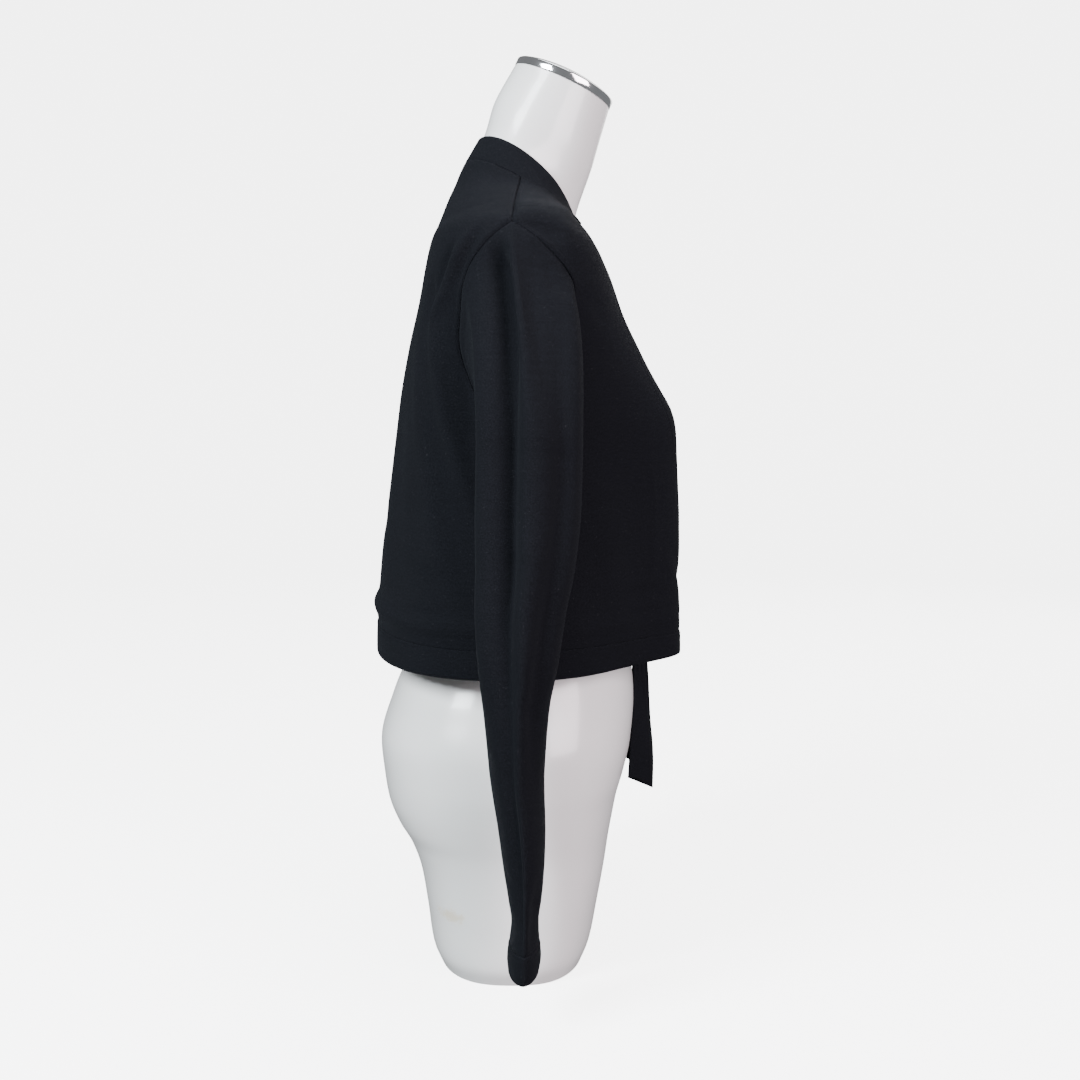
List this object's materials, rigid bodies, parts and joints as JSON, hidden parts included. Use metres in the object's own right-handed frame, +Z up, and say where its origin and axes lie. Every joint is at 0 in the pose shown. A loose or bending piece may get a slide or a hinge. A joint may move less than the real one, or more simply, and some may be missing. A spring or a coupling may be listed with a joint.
{
  "type": "cropped tie-front cardigan on a dress form",
  "caption": "Cropped long-sleeved jersey cardigan with a deep open neck, banded edges and a knotted tie at the hem, worn by a smooth armless dress form.",
  "frame": {"origin": "centre of the form's flat foot", "axes": "+Z up, -Y the front, -X the wearer's right"},
  "size_m": [0.5605, 0.2845, 0.8426],
  "materials": {
    "knit": "near-black fine jersey knit, soft and matt",
    "form_shell": "white, satin to glossy",
    "cap_chrome": "polished"
  },
  "bodies": {
    "root": {"back": "knit", "front_right": "knit", "front_left": "knit", "sleeve_right": "knit", "sleeve_left": "knit", "neck_band": "knit", "hem_back": "knit", "hem_right": "knit", "hem_left": "knit", "cuff_right": "knit", "cuff_left": "knit", "tie_right": "knit", "tie_left": "knit", "tie_knot": "knit", "form_body": "form_shell", "form_cap": "cap_chrome"}
  },
  "joints": []
}
